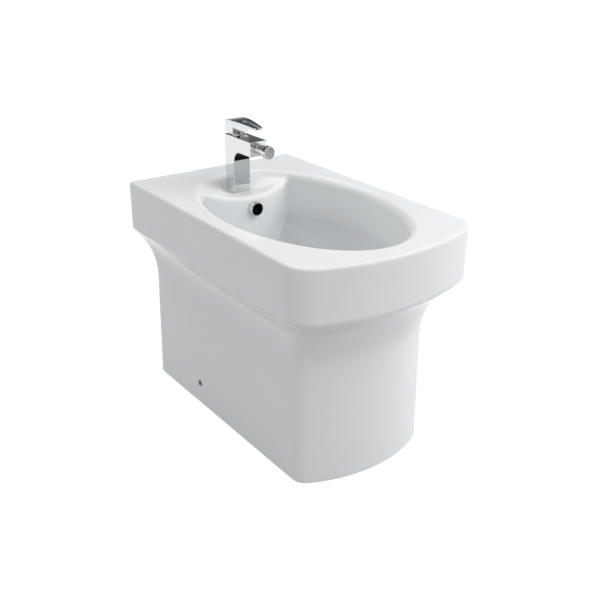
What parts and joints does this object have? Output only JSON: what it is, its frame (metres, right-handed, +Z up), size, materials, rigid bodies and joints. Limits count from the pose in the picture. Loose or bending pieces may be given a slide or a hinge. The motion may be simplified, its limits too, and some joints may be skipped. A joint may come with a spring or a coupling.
{
  "type": "floor standing bidet",
  "caption": "Floor standing bidet: china bowl on a back-to-wall pedestal, with a single-lever tap, swivelling nozzle, overflow, push waste and bottle trap.",
  "frame": {"origin": "centre of the bounding box on the floor", "axes": "+Z up, the front of the bowl faces -Y, the wall is at the +Y end, +X to the right seen from the front"},
  "size_m": [0.36, 0.565, 0.5267],
  "materials": {
    "china": "glossy white glaze",
    "chrome": "polished",
    "zinc_steel": "zinc plated",
    "spring_steel": "drawn wire",
    "plain_brass": "machined",
    "black_rubber": "matt",
    "white_plastic": "satin",
    "grey_plastic": "satin",
    "black_plastic": "satin",
    "oxide_ceramic": "lapped"
  },
  "bodies": {
    "frame": {"china_body": "china", "overflow_ring": "chrome", "side_screws": "chrome", "side_sleeves": "grey_plastic", "floor_bracket_left": "white_plastic", "floor_bracket_right": "white_plastic", "floor_bolts": "zinc_steel", "floor_washers": "zinc_steel", "tap_body": "chrome", "base_gasket": "white_plastic", "mounting_stud": "plain_brass", "horseshoe_rubber": "black_rubber", "horseshoe_plate": "zinc_steel", "mounting_nut": "plain_brass", "cartridge_seal": "black_rubber", "cartridge_base": "white_plastic", "cartridge_housing": "white_plastic", "fixed_disc": "oxide_ceramic", "cartridge_nut": "plain_brass", "dome_cap": "chrome", "ball_housing": "chrome", "housing_seal": "black_rubber", "waste_body": "chrome", "waste_top_seal": "black_rubber", "waste_bottom_seal": "black_rubber", "waste_nut": "plain_brass", "click_body": "white_plastic", "plug_spring": "spring_steel", "trap_inlet_nut": "chrome", "trap_inlet_washer": "black_rubber", "trap_dip_tube": "chrome", "trap_slip_nut": "chrome", "trap_slip_washer": "black_rubber", "trap_head": "chrome", "trap_cup": "chrome", "trap_cup_seal": "black_rubber", "trap_outlet_nut": "chrome", "trap_outlet_washer": "black_rubber", "trap_outlet_pipe": "chrome"},
    "lever_base": {"spindle_guide": "grey_plastic", "spindle_pin": "zinc_steel"},
    "lever": {"lever_handle": "chrome", "spindle": "zinc_steel", "lever_grub_screw": "zinc_steel", "index_plug": "black_plastic"},
    "disc": {"moving_disc": "oxide_ceramic", "disc_carrier": "black_plastic"},
    "nozzle_turn": {"nozzle_seat_ring": "white_plastic"},
    "nozzle": {"nozzle_ball": "chrome", "nozzle_sleeve": "chrome", "aerator_insert": "grey_plastic"},
    "plug": {"waste_plug": "chrome", "plug_seal": "black_rubber"}
  },
  "joints": [
    {"name": "lever_turn", "type": "hinge", "parent": "frame", "child": "lever_base", "pos_m": [0, 0.1895, 0.49], "axis": [0, 0, 1], "range_deg": [-40, 40]},
    {"name": "lever_lift", "type": "hinge", "parent": "lever_base", "child": "lever", "pos_m": [0, 0.1895, 0.49], "axis": [-1, 0, 0], "range_deg": [0, 16]},
    {"name": "disc_slide", "type": "slide", "parent": "lever_base", "child": "disc", "axis": [0, -1, 0], "range_m": [0, 0.003]},
    {"name": "nozzle_spin", "type": "hinge", "parent": "frame", "child": "nozzle_turn", "pos_m": [0, 0.1221, 0.485], "axis": [0, -1, 0], "continuous": true},
    {"name": "nozzle_tilt", "type": "hinge", "parent": "nozzle_turn", "child": "nozzle", "pos_m": [0, 0.1221, 0.485], "axis": [1, 0, 0], "range_deg": [-16, 16]},
    {"name": "plug_push", "type": "slide", "parent": "frame", "child": "plug", "axis": [0, 0, -1], "range_m": [0, 0.008], "stiffness_N_per_m": 1000, "springref_m": -0.004, "deforming": ["plug_spring"]}
  ],
  "couplings": [
    {"joint": "disc_slide", "follows": "lever_lift", "m_per_rad": 0.01}
  ]
}
